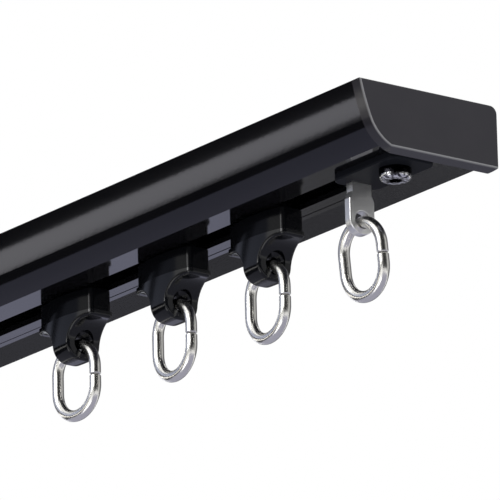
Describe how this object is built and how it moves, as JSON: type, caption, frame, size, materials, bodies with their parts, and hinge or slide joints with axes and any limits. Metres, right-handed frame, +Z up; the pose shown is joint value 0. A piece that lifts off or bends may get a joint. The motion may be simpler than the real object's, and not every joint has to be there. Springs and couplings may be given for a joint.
{
  "type": "curtain track",
  "caption": "Black aluminium curtain track with end caps, clamped end stops, and wheeled carriers that hang split rings below its slot.",
  "frame": {"origin": "middle of the ceiling face, above the centre line of the slot", "axes": "+X along the track, +Z up into the ceiling, -Y towards the curved front"},
  "size_m": [0.5, 0.0399, 0.0454],
  "materials": {
    "black_aluminium": "gloss",
    "textured_cap": "satin",
    "black_nylon": "gloss",
    "wheel_nylon": "satin",
    "chromed_steel": "polished",
    "zinc_steel": "satin",
    "axle_steel": "satin"
  },
  "bodies": {
    "track": {"track_profile": "black_aluminium", "end_cap_left": "textured_cap", "stop_body_left": "black_nylon", "clamp_nut_left": "zinc_steel", "clamp_screw_left": "chromed_steel", "eye_plate_left": "zinc_steel", "end_cap_right": "textured_cap", "stop_body_right": "black_nylon", "clamp_nut_right": "zinc_steel", "clamp_screw_right": "chromed_steel", "eye_plate_right": "zinc_steel"},
    "carrier_1": {"carrier_body_1": "black_nylon", "carrier_axle_1": "axle_steel"},
    "wheel_front_1": {"wheel_front_1": "wheel_nylon"},
    "wheel_back_1": {"wheel_back_1": "wheel_nylon"},
    "ring_1": {"hook_ring_1": "chromed_steel"},
    "carrier_2": {"carrier_body_2": "black_nylon", "carrier_axle_2": "axle_steel"},
    "wheel_front_2": {"wheel_front_2": "wheel_nylon"},
    "wheel_back_2": {"wheel_back_2": "wheel_nylon"},
    "ring_2": {"hook_ring_2": "chromed_steel"},
    "carrier_3": {"carrier_body_3": "black_nylon", "carrier_axle_3": "axle_steel"},
    "wheel_front_3": {"wheel_front_3": "wheel_nylon"},
    "wheel_back_3": {"wheel_back_3": "wheel_nylon"},
    "ring_3": {"hook_ring_3": "chromed_steel"},
    "carrier_4": {"carrier_body_4": "black_nylon", "carrier_axle_4": "axle_steel"},
    "wheel_front_4": {"wheel_front_4": "wheel_nylon"},
    "wheel_back_4": {"wheel_back_4": "wheel_nylon"},
    "ring_4": {"hook_ring_4": "chromed_steel"},
    "carrier_5": {"carrier_body_5": "black_nylon", "carrier_axle_5": "axle_steel"},
    "wheel_front_5": {"wheel_front_5": "wheel_nylon"},
    "wheel_back_5": {"wheel_back_5": "wheel_nylon"},
    "ring_5": {"hook_ring_5": "chromed_steel"},
    "carrier_6": {"carrier_body_6": "black_nylon", "carrier_axle_6": "axle_steel"},
    "wheel_front_6": {"wheel_front_6": "wheel_nylon"},
    "wheel_back_6": {"wheel_back_6": "wheel_nylon"},
    "ring_6": {"hook_ring_6": "chromed_steel"},
    "end_ring_left": {"end_ring_left": "chromed_steel"},
    "end_ring_right": {"end_ring_right": "chromed_steel"}
  },
  "joints": [
    {"name": "carrier_1_slide", "type": "slide", "parent": "track", "child": "carrier_1", "axis": [1, 0, 0], "range_m": [-0.019, 0.014]},
    {"name": "wheel_front_1_spin", "type": "hinge", "parent": "carrier_1", "child": "wheel_front_1", "pos_m": [-0.1895, 0, -0.00875], "axis": [0, 1, 0], "continuous": true},
    {"name": "wheel_back_1_spin", "type": "hinge", "parent": "carrier_1", "child": "wheel_back_1", "pos_m": [-0.1895, 0, -0.00875], "axis": [0, 1, 0], "continuous": true},
    {"name": "ring_1_swing", "type": "hinge", "parent": "carrier_1", "child": "ring_1", "pos_m": [-0.1895, 0, -0.0266], "axis": [1, 0, 0], "range_deg": [-75, 75]},
    {"name": "carrier_2_slide", "type": "slide", "parent": "track", "child": "carrier_2", "axis": [1, 0, 0], "range_m": [-0.014, 0.017]},
    {"name": "wheel_front_2_spin", "type": "hinge", "parent": "carrier_2", "child": "wheel_front_2", "pos_m": [-0.1529, 0, -0.00875], "axis": [0, 1, 0], "continuous": true},
    {"name": "wheel_back_2_spin", "type": "hinge", "parent": "carrier_2", "child": "wheel_back_2", "pos_m": [-0.1529, 0, -0.00875], "axis": [0, 1, 0], "continuous": true},
    {"name": "ring_2_swing", "type": "hinge", "parent": "carrier_2", "child": "ring_2", "pos_m": [-0.1529, 0, -0.0266], "axis": [1, 0, 0], "range_deg": [-75, 75]},
    {"name": "carrier_3_slide", "type": "slide", "parent": "track", "child": "carrier_3", "axis": [1, 0, 0], "range_m": [-0.017, 0.1]},
    {"name": "wheel_front_3_spin", "type": "hinge", "parent": "carrier_3", "child": "wheel_front_3", "pos_m": [-0.1133, 0, -0.00875], "axis": [0, 1, 0], "continuous": true},
    {"name": "wheel_back_3_spin", "type": "hinge", "parent": "carrier_3", "child": "wheel_back_3", "pos_m": [-0.1133, 0, -0.00875], "axis": [0, 1, 0], "continuous": true},
    {"name": "ring_3_swing", "type": "hinge", "parent": "carrier_3", "child": "ring_3", "pos_m": [-0.1133, 0, -0.0266], "axis": [1, 0, 0], "range_deg": [-75, 75]},
    {"name": "carrier_4_slide", "type": "slide", "parent": "track", "child": "carrier_4", "axis": [1, 0, 0], "range_m": [-0.1, 0.017]},
    {"name": "wheel_front_4_spin", "type": "hinge", "parent": "carrier_4", "child": "wheel_front_4", "pos_m": [0.1133, 0, -0.00875], "axis": [0, 1, 0], "continuous": true},
    {"name": "wheel_back_4_spin", "type": "hinge", "parent": "carrier_4", "child": "wheel_back_4", "pos_m": [0.1133, 0, -0.00875], "axis": [0, 1, 0], "continuous": true},
    {"name": "ring_4_swing", "type": "hinge", "parent": "carrier_4", "child": "ring_4", "pos_m": [0.1133, 0, -0.0266], "axis": [1, 0, 0], "range_deg": [-75, 75]},
    {"name": "carrier_5_slide", "type": "slide", "parent": "track", "child": "carrier_5", "axis": [1, 0, 0], "range_m": [-0.017, 0.014]},
    {"name": "wheel_front_5_spin", "type": "hinge", "parent": "carrier_5", "child": "wheel_front_5", "pos_m": [0.1529, 0, -0.00875], "axis": [0, 1, 0], "continuous": true},
    {"name": "wheel_back_5_spin", "type": "hinge", "parent": "carrier_5", "child": "wheel_back_5", "pos_m": [0.1529, 0, -0.00875], "axis": [0, 1, 0], "continuous": true},
    {"name": "ring_5_swing", "type": "hinge", "parent": "carrier_5", "child": "ring_5", "pos_m": [0.1529, 0, -0.0266], "axis": [1, 0, 0], "range_deg": [-75, 75]},
    {"name": "carrier_6_slide", "type": "slide", "parent": "track", "child": "carrier_6", "axis": [1, 0, 0], "range_m": [-0.014, 0.019]},
    {"name": "wheel_front_6_spin", "type": "hinge", "parent": "carrier_6", "child": "wheel_front_6", "pos_m": [0.1895, 0, -0.00875], "axis": [0, 1, 0], "continuous": true},
    {"name": "wheel_back_6_spin", "type": "hinge", "parent": "carrier_6", "child": "wheel_back_6", "pos_m": [0.1895, 0, -0.00875], "axis": [0, 1, 0], "continuous": true},
    {"name": "ring_6_swing", "type": "hinge", "parent": "carrier_6", "child": "ring_6", "pos_m": [0.1895, 0, -0.0266], "axis": [1, 0, 0], "range_deg": [-75, 75]},
    {"name": "end_ring_left_swing", "type": "hinge", "parent": "track", "child": "end_ring_left", "pos_m": [-0.2252, 0, -0.02485], "axis": [0.9979, -0.0645, 0], "range_deg": [-80, 69]},
    {"name": "end_ring_right_swing", "type": "hinge", "parent": "track", "child": "end_ring_right", "pos_m": [0.2252, 0, -0.02485], "axis": [0.9979, 0.0645, 0], "range_deg": [-80, 69]}
  ]
}
